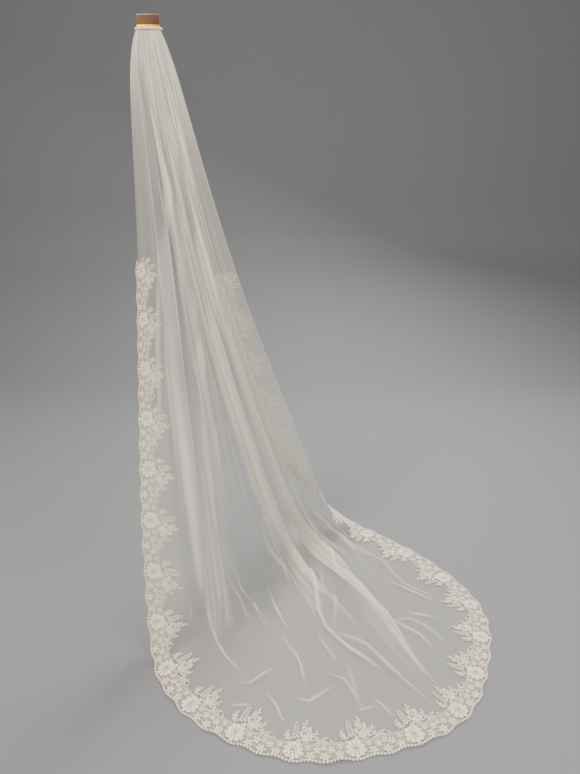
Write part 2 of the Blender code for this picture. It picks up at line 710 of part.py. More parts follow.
def in_outline(x, z, outline):
    """Whether a place is inside a closed outline."""
    inside = False
    for (x0, z0), (x1, z1) in zip(outline, outline[1:] + outline[:1]):
        if (z0 > z) != (z1 > z) and x < x0 + (x1 - x0) * (z - z0) / (z1 - z0):
            inside = not inside
    return inside


def main():
    clear_scene()
    lace_border(tulle_panel())
    binding()
    hair_comb()


main()
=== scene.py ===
"""Dresses the bridal veil: gathered tulle, scalloped lace, a satin binding and its hair comb.

Metres, +Z up, in the part's own frame: the origin is the foot of the comb, the cloth's outer face looks
to -Y and the train sweeps forwards and to the right. The cloth's surface is worked out from the same
tables as the part's solids, with finer pleats and listed creases laid over it.
"""

from math import atan2, copysign, cos, exp, factorial, hypot, pi, radians, sin, sqrt, tau

import bpy
import numpy as np
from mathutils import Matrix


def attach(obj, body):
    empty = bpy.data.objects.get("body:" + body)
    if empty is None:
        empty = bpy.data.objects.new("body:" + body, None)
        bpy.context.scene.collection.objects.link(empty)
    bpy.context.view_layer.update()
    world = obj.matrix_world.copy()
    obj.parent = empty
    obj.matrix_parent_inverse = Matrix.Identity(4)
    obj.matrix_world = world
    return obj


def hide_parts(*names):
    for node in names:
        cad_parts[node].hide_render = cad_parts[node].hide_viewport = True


bl_info = {
    "name": "Bridal veil dressing",
    "version": (1, 0, 0),
    "blender": (4, 5, 0),
    "location": "View3D > Sidebar > Veil",
    "description": "Makes the veil's tulle, lace, binding, comb finish and studio",
    "category": "Object",
}

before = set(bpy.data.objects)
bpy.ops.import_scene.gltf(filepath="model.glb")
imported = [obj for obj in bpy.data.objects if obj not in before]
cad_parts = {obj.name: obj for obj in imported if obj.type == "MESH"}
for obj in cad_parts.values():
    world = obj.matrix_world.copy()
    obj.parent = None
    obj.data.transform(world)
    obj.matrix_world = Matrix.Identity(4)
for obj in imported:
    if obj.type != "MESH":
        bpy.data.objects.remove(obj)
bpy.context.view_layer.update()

BODY = "root"

# The cloth and its seams, as in the part
COMB_HEIGHT = 2.03
TULLE_WIDTH = 1.50
HEM_LENGTH = 2.48
CUT_LENGTH = 3.0
SEAM_GAP = 0.0003
SHEET_RISE = 0.0006
FLOOR_GAP = 0.0012

COMB_WIDTH = 0.079
COMB_BEND = 0.004
BINDING_WIDTH = 0.097
BINDING_TALL = 0.009
BINDING_DEPTH = 0.019

LACE_REPEAT = 0.1725
LACE_HEM_REPEATS = 13
LACE_SIDE_REPEATS = 8
LACE_SPARE_REPEATS = 3
LACE_DEPTH = 0.125
LACE_STEP = 0.005
LACE_SMOOTHING = 1.4
LACE_CLEAR = 0.0009
FOLD_CLEAR = 0.004
FLAT_UNTIL = 1.2
LACE_LINE_START = 0.18
LINE_POINTS = 800

BEND_ABOVE = 0.10
BEND_ALONG = 0.17
BEND_SHARE = 0.6
PUFF_SIDE = 0.0198
PUFF_BACK = 0.0044
PUFF_PLACE = 0.10
FULL_TURN = 1.65
GATHER_TURN = 1.0
FULL_FROM = 0.3
LEAN_FROM = 0.25
LAY_START = 0.80
LAY_END = 1.15
FADE_START = 0.35
LEVEL_UNTIL = 0.1
LOW_PLACE = 0.8
LOW_START = 0.4

# The shown cloth's points across, down to the top's end, on down the fall and down the train
POINTS_ACROSS = 441
POINTS_DOWN_TOP = 26
POINTS_DOWN_FALL = 76
POINTS_DOWN_TRAIN = 118
TOP_END = 0.1

# The most layers that gathers stand for, and how much of them the smooth right side is without
MOST_LAYERS = 16.0
RIGHT_SHEER = 0.85

# The lace's relief in millimetres from which it gets no painted shade (lower relief is painted darker, as
# shade in its hollows), and where the border's two ends are cut
PALE_RISE = 2.6
FIRST_CUT = -37.0
LAST_CUT = 50.0

BINDING_RINGS = 121
BINDING_SIDES = 28
SEAM_DOWN = 0.0024
SEAM_DEPTH = 0.0006
STITCHES = 30
STITCHED_HALF = 0.043

# The camera of the photograph, and the lamps: a share of the key light's power and a colour for each
CAMERA_PLACE = (0.504, -2.362, -0.59)
CAMERA_TILT = 72.4
CAMERA_SENSOR = 36
CAMERA_LENS = 585 / 774 * CAMERA_SENSOR
LAMPS = (
    # name, place, aim, size, share, colour
    ("key", (-1.9, -3.2, 2), (0.35, -0.4, -1.1), 2.2, 1, (1, 0.94, 0.85)),
    ("fill", (3.2, -2.4, 1), (0.5, -0.4, -1.3), 2.6, 0.42, (0.95, 0.97, 1)),
    ("rim", (1.4, 2.3, 1.3), (0.3, -0.3, -1), 1.8, 0.75, (1, 0.98, 0.95)),
)
SKY_COLOUR = (0.80, 0.83, 0.88, 1.0)
SKY_STRENGTH = 0.30

# Each row is one line down the veil: its share of the way across, and x and y in millimetres of five
# places down it, as in the part
STATIONS = (
    # share, binding_x, binding_y, half_x, half_y, low_x, low_y, floor_x, floor_y, hem_x, hem_y
    (0, -43, 3, -18, -345, 13, -600, 40, -735, 102, -882),
    (0.05, -40, 3, 30, -390, 72, -612, 99, -745, 150, -945),
    (0.1, -36, 3, 78, -432, 130, -625, 158, -745, 200, -1000),
    (0.14, -33, 3, 114, -462, 177, -630, 212, -720, 243, -1035),
    (0.2, -27, 3, 145, -402, 235, -560, 290, -645, 330, -1088),
    (0.29, -18, 3, 160, -338, 282, -450, 370, -490, 510, -1150),
    (0.42, -7, 3, 190, -295, 338, -343, 450, -320, 782, -1124),
    (0.5, 1, 3, 213, -275, 372, -291, 492, -238, 935, -1068),
    (0.58, 9, 3, 238, -255, 404, -249, 527, -177, 1042, -985),
    (0.66, 18, 3, 264, -235, 434, -213, 564, -130, 1122, -850),
    (0.75, 28, 3, 292, -212, 480, -178, 624, -86, 1196, -640),
    (0.82, 36, 3, 333, -195, 545, -128, 680, -50, 1190, -480),
    (0.86, 40, 4, 357, -172, 578, -88, 708, -24, 1155, -385),
    (0.9, 41, 5, 349, -130, 562, -52, 724, 14, 1108, -300),
    (0.95, 38, 6, 304, -92, 502, -36, 736, 56, 1055, -220),
    (1, 34, 8, 262, -52, 440, -22, 742, 96, 1000, -150),
)

# Each row is one fold, from the left edge to the right, as in the part
FOLDS = (
    # share, lean, lay, reach, full
    (0.12, 0, 0, 0.05, 0),
    (0.045, 4, 30, 0.3, 0.8),
    (0.055, 0, 40, 0.3, 1),
    (0.05, 8, 42, 0.25, 0.9),
    (0.065, -4, 42, 0.35, 1),
    (0.055, 4, 42, 0.3, 0.8),
    (0.07, -6, 45, 0.4, 1),
    (0.07, 8, 48, 0.85, 1),
    (0.105, 12, 50, 0.85, 1),
    (0.07, -4, 44, 0.45, 0.9),
    (0.05, 6, 40, 0.35, 0.9),
    (0.06, 4, 45, 0.6, 1),
    (0.04, 0, 36, 0.3, 0.7),
    (0.145, 0, 0, 0.05, 0),
)

# Where some of the hem's flowers are: the number and the distance along the hem, as in the part
LACE_FLOWERS = (
    # number, distance
    (0, -0.037),
    (10, 1.759),
    (12, 2.19),
)

# Each row is one stretch of the lace border, from the left to the right: how many repeats it has, and how
# much of the painted hollow shade is lifted off it as painted light, so that the right side, which turns its
# back to the front, reads as lit
LACE_STRETCHES = (
    # name, repeats, shade_lifted
    ("lace_left_fall", 8, 0),
    ("lace_train_left", 4, 0),
    ("lace_train_front", 5, 0),
    ("lace_train_right", 4, 0),
    ("lace_right_fall", 8, 0.45),
)

# Fine gathers under the binding and soft pleats down the fall. drift: waves gained on the way down
GATHERS = (
    # waves, drift, phase, height, start, full, fading, end
    (41, 0, 0.3, 0.0026, -0.01, 0, 0.03, 0.16),
    (67, 0.7, 1.9, 0.0018, -0.01, 0, 0.02, 0.1),
    (97, -0.9, 4.1, 0.0011, -0.01, 0, 0.01, 0.06),
    (11, 0.6, 0.8, 0.01, 0.02, 0.2, 0.6, 1.1),
    (19, -0.8, 2.9, 0.007, 0.03, 0.15, 0.45, 1),
    (31, 1.1, 5.1, 0.0036, 0.02, 0.1, 0.25, 0.75),
)

# Bundles where the hanging cloth lies closer or wider than around them: the layers more or fewer, half
# the width in millimetres of cloth, how far it stands out in millimetres, and places across and down by
# turns, in thousandths
BUNDLES = (
    (1.6, 14, 3, 117, 364, 75, 510, 58, 671),
    (1.6, 42, 7, 228, 204, 151, 380, 121, 568, 137, 772, 169, 954, 171, 1206),
    (1.6, 25, 7, 452, 268, 315, 435, 222, 579, 188, 780, 196, 960, 210, 1200),
    (1.3, 15, 5, 285, 568, 249, 684, 265, 850),
    (2.4, 66, 9, 773, 117, 579, 387, 475, 597, 465, 800, 530, 961, 462, 1341),
    (1.9, 8, 6, 530, 961, 510, 1141, 462, 1341, 450, 1437, 464, 1577, 488, 1729),
    (1.6, 60, 4, 805, 50, 543, 201, 425, 369, 410, 522, 443, 734),
    (1.8, 66, 9, 663, 630, 670, 900, 680, 1100, 625, 1270, 592, 1500, 563, 1800),
    (2.1, 7, 4, 737, 763, 729, 1009, 649, 1228, 607, 1473, 585, 1655, 559, 1826),
    (1.4, 6, 4, 422, 840, 403, 932, 420, 1055, 415, 1154),
    (1.4, 7, 4, 775, 863, 790, 980, 801, 1053, 778, 1197, 760, 1300),
    (1.2, 6, 4, 200, 814, 218, 874, 246, 940, 254, 1021, 278, 1099, 304, 1264),
    (1, 6, 4, 200, 874, 244, 1057, 264, 1195),
    (0.9, 5, 4, 325, 1063, 327, 1159, 317, 1241),
    (1, 6, 4, 336, 1350, 349, 1540),
    (1, 6, 3, 379, 740, 357, 880),
    (1.3, 6, 4, 466, 840, 448, 930, 450, 1141, 444, 1313, 442, 1428),
    (1.3, 7, 4, 839, 1250, 784, 1444, 755, 1591, 762, 1780),
    (1, 7, 4, 585, 1480, 611, 1584, 663, 1660, 671, 1733, 665, 1860),
    (1.3, 7, 4, 560, 1180, 510, 1330, 460, 1470),
    (1, 7, 4, 442, 1620, 417, 1791, 415, 1850),
    (0.9, 6, 4, 419, 1440, 423, 1640),
    (1.2, 6, 4, 573, 1590, 567, 1890),
    (-3, 16, -4, 213, 245, 168, 414, 170, 584, 165, 725),
    (-3, 20, -4, 222, 341, 303, 407, 330, 458, 335, 575, 354, 704),
    (-2.4, 90, -5, 324, 578, 352, 758, 349, 856, 326, 996, 315, 1220),
    (-1.2, 28, -3, 102, 600, 109, 728, 117, 824, 126, 977),
)

# Bundles wider than this, in millimetres, are streaked by fine pleats
STREAKED_FROM = 20

# Gathers with more waves than this are fine ones, which run over the whole width
FINE_FROM = 40

# Soft ripples of the train. The first two columns are the waves across and down.
RIPPLES = (
    # across, down, phase, height
    (7, 1.3, 0.4, 0.004),
    (11, -2.1, 2.2, 0.003),
    (17, 3.2, 4.4, 0.0016),
)

# Creases of the train, placed one by one: a width, a height and x and y by turns, all in millimetres
CREASES = (
    (6, 6, 178, -516, 170, -747),
    (5, 7, 187, -635, 258, -747, 375, -885),
    (6, 6, 335, -894, 382, -897, 462, -827),
    (6, 6, 390, -402, 511, -690),
    (5, 6, 501, -700, 537, -814, 556, -929),
    (5, 5, 424, -929, 465, -985, 481, -1031, 507, -1038),
    (6, 5, 501, -952, 561, -967, 647, -905),
    (5, 6, 613, -853, 677, -885, 714, -978),
    (5, 5, 750, -952, 780, -978, 813, -1031),
    (5, 4, 699, -1003, 776, -981),
    (5, 4, 316, -989, 393, -981),
    (6, 6, 226, -197, 317, -427, 427, -675),
    (7, 6, 807, -577, 878, -614, 956, -685, 1003, -779),
    (7, 5, 919, -566, 1047, -598),
    (7, 5, 872, -363, 952, -427, 1067, -516),
    (8, 9, 619, -645, 688, -685, 766, -747, 865, -892, 949, -998),
    (7, 6, 619, -645, 703, -747, 800, -853),
)

# How many layers of net a crease of the train adds
CREASE_LAYERS = 2.4


def eased(low, high, value):
    """0 up to low and 1 from high, with a smooth rise between."""
    share = np.clip((value - low) / (high - low), 0.0, 1.0)
    return share * share * (3.0 - 2.0 * share)


def smooth_through(at, known_at, known):
    """A smooth curve through the known values, one column for each measure."""
    slopes = np.gradient(known, known_at, axis=0)
    right = np.clip(np.searchsorted(known_at, at, side="right"), 1, len(known_at) - 1)
    left = right - 1
    span = known_at[right] - known_at[left]
    step = ((at - known_at[left]) / span)[..., None]
    span = span[..., None]
    start = known[left] * (1 + 2 * step) * (1 - step) ** 2 + slopes[left] * span * step * (1 - step) ** 2
    end = known[right] * step**2 * (3 - 2 * step) + slopes[right] * span * step**2 * (step - 1)
    return start + end


def bessel(order, value):
    """The Bessel function of the first kind, by its series."""
    total = np.zeros_like(value)
    for term in range(14):
        sign = (-1) ** term / (factorial(term) * factorial(term + order))
        total = total + sign * (value / 2) ** (2 * term + order)
    return total


TURN_ANGLES = np.linspace(0.0, 2.2, 120)
TURN_TAKE_UP = bessel(0, TURN_ANGLES)


def turn_for(take_up, most):
    """How steeply a fold turns, in radians, for the share of its cloth that it spans sideways."""
    return np.minimum(np.interp(-take_up, -TURN_TAKE_UP, TURN_ANGLES), most)


def through_half(top, half, touch, share):
    """The curve with one bend from top to touch, which passes half in its middle."""
    ends = top * (1 - share) * (1 - 2 * share) + touch * share * (2 * share - 1)
    return ends + 4 * half * share * (1 - share)


def middle_surface(across, down):
    """Points of the veil before it is folded. across: 0 to 1 from the left edge. down: 0 at the
    binding, 1 where the fall meets the floor, 2 at the hem."""
    table = np.array(STATIONS)
    rows = smooth_through(across, table[:, 0], table[:, 1:] / 1000)
    top, half, low, touch, hem = (rows[..., i : i + 2] for i in range(0, 10, 2))
    run = np.linalg.norm(hem - touch, axis=-1)
    bend_end = 1.0 + np.minimum(BEND_ALONG / np.maximum(run, 1e-6), BEND_SHARE)
    bend_start = 1.0 - BEND_ABOVE

    def fall(share):
        share = share[..., None]
        near_low = eased(LOW_START, LOW_PLACE, share) * (1 - eased(LOW_PLACE, 1.0, share))
        plan = through_half(top, half, touch, share)
        plan = plan + (low - through_half(top, half, touch, LOW_PLACE)) * near_low
        spread = share / PUFF_PLACE * np.exp(1 - share / PUFF_PLACE)
        plan = plan + spread * (2 * across[..., None] - 1) * np.array([PUFF_SIDE, PUFF_BACK])
        height = -BINDING_TALL - SEAM_GAP - (COMB_HEIGHT - BINDING_TALL) * share
        return np.concatenate([plan, height], axis=-1)

    def floor(share):
        share = share[..., None] - 1.0
        plan = touch + (hem - touch) * share
        return np.concatenate([plan, np.full_like(share, -COMB_HEIGHT - SEAM_GAP)], axis=-1)

    start, corner, end = fall(np.full_like(down, bend_start)), floor(np.ones_like(down)), floor(bend_end)
    along = np.clip((down - bend_start) / (bend_end - bend_start), 0.0, 1.0)[..., None]
    bent = start * (1 - along) ** 2 + 2 * corner * along * (1 - along) + end * along**2
    hanging = (down < bend_start)[..., None]
    lying = (down > bend_end)[..., None]
    return np.where(hanging, fall(np.minimum(down, 1.0)), np.where(lying, floor(down), bent))


def differences(surface, across, down, step):
    """How far a surface's points move over a step on each side, across and then down."""
    side = surface(across + step, down) - surface(across - step, down)
    return side, surface(across, down + step) - surface(across, down - step)


def unit(directions, least=1e-15):
    """The directions at length 1, apart from those shorter than the least length."""
    return directions / np.maximum(np.linalg.norm(directions, axis=-1, keepdims=True), least)


def surface_frame(across, down):
    """The middle surface's points, its direction across, its outward direction and its width."""
    step = 1e-3
    side, along = (moved / (2 * step) for moved in differences(middle_surface, across, down, step))
    wide = np.linalg.norm(side, axis=-1)
    return middle_surface(across, down), unit(side, 1e-9), unit(-np.cross(side, along), 1e-12), wide


def fold_at(across):
    """The fold's row for each place across, and how far through the fold the place is, 0 to 1."""
    table = np.array(FOLDS)
    table[:, 0] /= table[:, 0].sum()
    ends = np.concatenate([[0.0], np.cumsum(table[:, 0])])
    which = np.clip(np.searchsorted(ends, across, side="right") - 1, 0, len(table) - 1)
    return table[which], (across - ends[which]) / table[which, 0]


def folded(across, down):
    """Points of the cloth with its large folds, as in the part's solid."""
    here, side, out, wide = surface_frame(across, down)
    row, through = fold_at(across)
    share, lean, lay, reach, full = (row[..., i] for i in range(5))
    over_floor = np.clip(down - 1.0, 0.0, 1.0)
    cloth = TULLE_WIDTH + (HEM_LENGTH - TULLE_WIDTH) * over_floor
    most = GATHER_TURN + (FULL_TURN - GATHER_TURN) * eased(0.0, FULL_FROM, down)
    turn = turn_for(np.clip(wide / cloth, 0.0, 1.0), most)
    turn = turn * full * (1.0 - eased(FADE_START, 1.0, over_floor / reach))
    length = np.minimum(cloth, wide / np.interp(most, TURN_ANGLES, TURN_TAKE_UP)) * share / tau
    angle = tau * through
    sideways = length * (bessel(2, turn) * np.sin(2 * angle) + bessel(4, turn) / 2 * np.sin(4 * angle))
    outwards = length * (
        2 * bessel(1, turn) * (1 - np.cos(angle)) + 2 / 3 * bessel(3, turn) * (1 - np.cos(3 * angle))
    )
    tilt = np.radians(lean + (lay - lean) * eased(LAY_START, LAY_END, down))
    tilt = tilt * eased(0.0, LEAN_FROM, down)
    level = np.array([1.0, 1.0, 0.0]) + np.array([0.0, 0.0, 1.0]) * eased(0.0, LEVEL_UNTIL, down)[..., None]
    moved = (sideways + outwards * np.sin(tilt))[..., None] * side * level
    return here + moved + (outwards * np.cos(tilt))[..., None] * out * level


def ridge(wave, sharpness):
    """A wave turned into narrow ridges with wide troughs between them."""
    return ((np.cos(wave) + 1) / 2) ** sharpness


def pleats(across, down):
    """How far the pleats, gathers and bundles stand out of the folds, and the layers they add."""
    uneven = across + 0.018 * np.sin(tau * (2.3 * across + 0.15 * down) + 1.1)
    uneven = uneven + 0.008 * np.sin(tau * (6.7 * across - 0.20 * down) + 0.4)
    uneven = uneven + 0.003 * np.sin(tau * (15.1 * across + 0.30 * down) + 2.0)
    loose = 0.15 + 0.85 * eased(0.10, 0.17, across) * (1 - eased(0.72, 0.80, across))
    fine = 0.55 + 0.9 * ridge(tau * (57 * uneven + 1.5 * across * down), 1.5)
    rise, layers = np.zeros_like(across), np.zeros_like(across)
    for waves, drift, phase, height, start, full, fading, end in GATHERS:
        strength = eased(start, full, down) * (1 - eased(fading, end, down))
        lines = ridge(tau * (waves * uneven + drift * down) + phase, 2.0 if waves > FINE_FROM else 3.0)
        swell = 0.5 + 0.5 * np.sin(tau * (3.1 * across + 0.6 * down) + 2 * phase)
        swell = np.clip(swell + 0.4 * np.sin(tau * (7.3 * across - 0.3 * down) + phase), 0.0, 1.3)
        strength = strength * swell * (1.0 if waves > FINE_FROM else loose)
        rise = rise + height * strength * lines
        layers = layers + 1.2 * strength * lines**2
    for more, width, height, *line in BUNDLES:
        line = np.reshape(line, (-1, 2)) / 1000 * (TULLE_WIDTH, COMB_HEIGHT)
        near = near_line(TULLE_WIDTH * across, COMB_HEIGHT * down, line, width / 1000, 4)
        rise = rise + height / 1000 * near * eased(0.0, 0.2, down)
        layers = layers + more * near * (fine if width > STREAKED_FROM and more > 0 else 1.0)
    return np.maximum(rise, 0.0), layers


def near_line(x, y, line, width, edge=2):
    """1 on a line of places, falling off over the width and towards its two ends. edge: how abruptly
    it falls off."""
    steps = np.linalg.norm(np.diff(line, axis=0), axis=1)
    before = np.concatenate([[0.0], np.cumsum(steps)])
    nearest, place = np.full_like(x, 1e9), np.zeros_like(x)
    for i, step in enumerate(steps):
        way = (line[i + 1] - line[i]) / step
        along = np.clip((x - line[i, 0]) * way[0] + (y - line[i, 1]) * way[1], 0.0, step)
        away = np.hypot(x - line[i, 0] - along * way[0], y - line[i, 1] - along * way[1])
        closer = away < nearest
        nearest = np.where(closer, away, nearest)
        place = np.where(closer, before[i] + along, place)
    taper = np.sin(pi * np.clip(place / before[-1], 0.02, 0.98)) ** 0.6
    return np.exp(-((nearest / (width * (0.25 + 0.75 * taper))) ** edge)) * taper


def train_relief(points, across, down):
    """How far the train's ripples and creases stand up from the floor, and the layers they add."""
    lying = eased(0.98, 1.10, down)
    edge = 1 - 0.6 * eased(1.80, 1.95, down)
    rise = np.zeros_like(across)
    for waves, length, phase, height in RIPPLES:
        rise = rise + height * ridge(tau * (waves * across + length * down) + phase, 2.0)
    layers = np.zeros_like(across)
    for width, height, *line in CREASES:
        line = np.reshape(line, (-1, 2)) / 1000
        near = near_line(points[..., 0], points[..., 1], line, width / 1000)
        rise = rise + height / 1000 * near
        layers = layers + CREASE_LAYERS * near**2
    return rise * lying * edge, layers * lying


def outward(surface, across, down, step):
    """The directions that look out of a surface, from its points a step away on each side."""
    return unit(-np.cross(*differences(surface, across, down, step)))


def relief(across, down):
    """Points of the cloth with its pleats and creases, and the layers that those add."""
    base = folded(across, down)
    out = outward(folded, across, down, 4e-4)
    rise, pleated = pleats(across, down)
    lift, creased = train_relief(base, across, down)
    level = np.array([1.0, 1.0, 0.0]) + np.array([0.0, 0.0, 1.0]) * eased(0.0, 0.02, down)[..., None]
    points = base + out * level * (SHEET_RISE + rise)[..., None]
    points[..., 2] += lift
    points[..., 2] = np.maximum(points[..., 2], -COMB_HEIGHT)
    return points, pleated + creased


def cloth(across, down):
    """Points of the finished cloth and its outward directions."""
    return relief(across, down)[0], outward(lambda *place: relief(*place)[0], across, down, 6e-4)


def border_of_cloth():
    """Places along the cloth's cut edge, from the left side round the hem to the right side, and the
    distance along the edge to each. It is 0 at the left corner and ends at the right corner."""
    side = np.linspace(LACE_LINE_START, 2.0, LINE_POINTS)
    hem = np.linspace(0.0, 1.0, LINE_POINTS)
    across = np.concatenate([np.zeros(len(side)), hem[1:-1], np.ones(len(side))])
    down = np.concatenate([side, np.full(len(hem) - 2, 2.0), side[::-1]])
    steps = np.linalg.norm(np.diff(middle_surface(across, down), axis=0), axis=-1)
    distance = np.concatenate([[0.0], np.cumsum(steps)])
    left, right = len(side) - 1, len(side) + len(hem) - 2
    return across, down, distance - distance[left], distance[right] - distance[left]


def lace_places():
    """How the lace lies on the cloth: for each distance along the edge and each depth in from it, the
    place across and down. Each row walks straight in over the unfolded cloth."""
    border_across, border_down, border_distance, hem_length = border_of_cloth()
    room = (LACE_SIDE_REPEATS + LACE_SPARE_REPEATS) * LACE_REPEAT
    distances = np.arange(-room, hem_length + room, LACE_STEP)
    depths = np.arange(0.0, LACE_DEPTH + LACE_STEP, LACE_STEP)

    def on_border(at):
        return np.interp(at, border_distance, border_across), np.interp(at, border_distance, border_down)

    across, down = on_border(distances)
    after, before = on_border(distances + LACE_STEP), on_border(distances - LACE_STEP)
    along = middle_surface(*after) - middle_surface(*before)
    _, _, out, _ = surface_frame(across, down)
    heading = inward = unit(np.cross(out, along))
    places = [(across, down)]
    for _ in depths[1:]:
        step = 1e-4
        over, under = (moved / (2 * step) for moved in differences(middle_surface, across, down, step))
        oo, ou, uu = (over * over).sum(-1), (over * under).sum(-1), (under * under).sum(-1)
        ho, hu = (heading * over).sum(-1), (heading * under).sum(-1)
        d_across = (ho * uu - hu * ou) / (oo * uu - ou * ou)
        d_down = (hu * oo - ho * ou) / (oo * uu - ou * ou)
        moved = d_across[:, None] * over + d_down[:, None] * under
        size = np.linalg.norm(moved, axis=-1)
        heading = unit(moved)
        across = np.clip(across + d_across / size * LACE_STEP, 0.0, 1.0)
        down = np.clip(down + d_down / size * LACE_STEP, 0.0, 2.0)
        places.append((across, down))
    places = np.array(places)
    for row, depth in enumerate(depths):
        reach = round(LACE_SMOOTHING * depth / LACE_STEP)
        window = np.hanning(2 * reach + 3)[1:-1]
        padded = np.pad(places[row], ((0, 0), (reach, reach)), mode="edge")
        places[row] = [np.convolve(line, window / window.sum(), mode="valid") for line in padded]
    return distances, places, inward


def lace_ground():
    """The finished cloth under the lace: the distances along the edge, and for each depth and distance
    its point, its outward direction and its inward direction."""
    distances, places, inward = lace_places()
    across, down = places[:, 0], places[:, 1]
    left, right = FOLDS[0][0] - FOLD_CLEAR, 1.0 - FOLDS[-1][0] + FOLD_CLEAR
    flat = np.where(across < 0.5, np.minimum(across, left), np.maximum(across, right))
    points, out = cloth(np.where(down < FLAT_UNTIL, flat, across), down)
    return distances, np.concatenate([points, out, np.broadcast_to(inward, points.shape)], axis=-1)


def on_ground(ground, distance, depth):
    """The cloth's points, outward directions and inward directions under points of the lace."""
    distances, table = ground
    x = (distance - distances[0]) / LACE_STEP
    y = np.maximum(depth, 0.0) / LACE_STEP
    i = np.clip(x.astype(int), 0, table.shape[1] - 2)
    j = np.clip(y.astype(int), 0, table.shape[0] - 2)
    u, v = (x - i)[:, None], (y - j)[:, None]
    near = table[j, i] * (1 - u) + table[j, i + 1] * u
    far = table[j + 1, i] * (1 - u) + table[j + 1, i + 1] * u
    rows = near * (1 - v) + far * v
    return rows[:, :3], rows[:, 3:6], rows[:, 6:]


def lace_distance(along):
    """The distance along the cloth's edge to a place counted in repeats, where 0 is the hem's first
    flower."""
    numbers, distances = zip(*LACE_FLOWERS)
    on_hem = np.clip(along, numbers[0], numbers[-1])
    return np.interp(on_hem, numbers, distances) + (along - on_hem) * LACE_REPEAT


def grid_faces(rows, columns, closed=False):
    """Faces over rows of points. closed: the last column meets the first."""
    faces = []
    for i in range(rows - 1):
        for j in range(columns if closed else columns - 1):
            here, there = i * columns + j, i * columns + (j + 1) % columns
            faces.append((here, there, there + columns, here + columns))
    return faces


class Drawing:
    """Flat stitched shapes that are laid on the cloth later: points in millimetres along, inwards and
    up, and their faces. Each shape keeps its middle, so that a stretch can end between shapes."""

    def __init__(self):
        self.points, self.faces, self.owners, self.middles, self.count = [], [], [], [], 0

    def add(self, points, faces):
        points = np.asarray(points, float)
        self.points.append(points)
        self.faces += [tuple(self.count + corner for corner in face) for face in faces]
        self.owners += [len(self.middles)] * len(faces)
        self.middles.append(points[:, 0].mean())
        self.count += len(points)

    def grid(self, table, rows, columns):
        self.add(table, [(face[0], *face[:0:-1]) for face in grid_faces(rows, columns)])

    def petal(self, x, y, angle, length, width, rise=0.9, base=0.3, point=0.75, curl=0.0):
        """A padded petal or leaf from its root, with a vein pressed in down its middle."""
        table = []
        for u in np.linspace(0.0, 1.0, 6):
            half = width / 2 * (0.12 + 0.88 * sin(pi * min(u, 0.97) ** point) ** 0.7)
            turn = angle + curl * u
            for v in (-1.0, -0.55, 0.0, 0.55, 1.0):
                ahead, aside = u * length, v * half
                swell = (1 - v * v) * sin(pi * (0.12 + 0.80 * u))
                vein = 0.45 * exp(-((v / 0.25) ** 2)) * sin(pi * u)
                table.append((
                    x + ahead * cos(turn) - aside * sin(turn),
                    y + ahead * sin(turn) + aside * cos(turn),
                    base + rise * (swell - vein),
                ))
        self.grid(table, 6, 5)

    def cord(self, line, width, rise=0.7, base=0.25):
        """A raised cord along a line of places."""
        line = np.asarray(line, float)
        way = unit(np.gradient(line, axis=0), 1e-9)
        aside = np.stack([-way[:, 1], way[:, 0]], 1) * width / 2
        table = []
        for place, half in zip(line, aside):
            table += [(*(place - half), base), (*place, base + rise), (*(place + half), base)]
        self.grid(table, len(line), 3)

    def cord_in_parts(self, line, width, rise, base):
        """A long cord in short parts, so that the lace can end along it."""
        for start in range(0, len(line) - 1, 3):
            self.cord(line[start : start + 4], width, rise, base)

    def knot(self, x, y, radius, rise=1.0, base=0.5, sides=8):
        """A small padded dot."""
        points = []
        for reach, height in ((radius, base), (0.6 * radius, base + 0.75 * rise)):
            for k in range(sides):
                angle = tau * k / sides
                points.append((x + reach * cos(angle), y + reach * sin(angle), height))
        points.append((x, y, base + rise))
        faces = [(k, (k + 1) % sides, sides + (k + 1) % sides, sides + k) for k in range(sides)]
        faces += [(sides + k, sides + (k + 1) % sides, 2 * sides) for k in range(sides)]
        self.add(points, faces)

    def ring(self, x, y, radius, width, rise=0.8, base=0.4, sides=14):
        """A raised ring."""
        angles = np.linspace(0, tau, sides + 1)
        self.cord([(x + radius * cos(a), y + radius * sin(a)) for a in angles], width, rise, base)

    def blossom(self, x, y, petals, radius, turn=0.0, rise=1.0, base=0.6):
        """A small flower with a dot in its middle."""
        for k in range(petals):
            angle = turn + tau * k / petals
            start = 0.18 * radius
            self.petal(
                x + start * cos(angle), y + start * sin(angle), angle, 0.84 * radius,
                1.02 * radius * sin(pi / petals), rise, base, 1.25,
            )
        self.knot(x, y, 0.22 * radius, rise, base + 0.4, 6)

    def sprig(self, line, leaf, count, spread=0.8):
        """A stem with leaves in pairs and one at its tip."""
        line = np.asarray(line, float)
        at = np.linspace(0.0, len(line) - 1.0, 3 * len(line))
        line = np.stack([np.interp(at, range(len(line)), line[:, k]) for k in (0, 1)], 1)
        self.cord(line, 1.6, 0.7, 0.3)
        for k in range(count):
            i = int((0.35 + 0.6 * k / max(1, count - 1)) * (len(line) - 1))
            way = line[min(i + 1, len(line) - 1)] - line[i - 1]
            angle = atan2(way[1], way[0])
            side = 1 if k % 2 else -1
            self.petal(*line[i], angle + side * spread, leaf, 0.46 * leaf, 0.9, 0.4)
        way = line[-1] - line[-3]
        self.petal(*line[-1], atan2(way[1], way[0]), 1.1 * leaf, 0.48 * leaf, 0.9, 0.4)


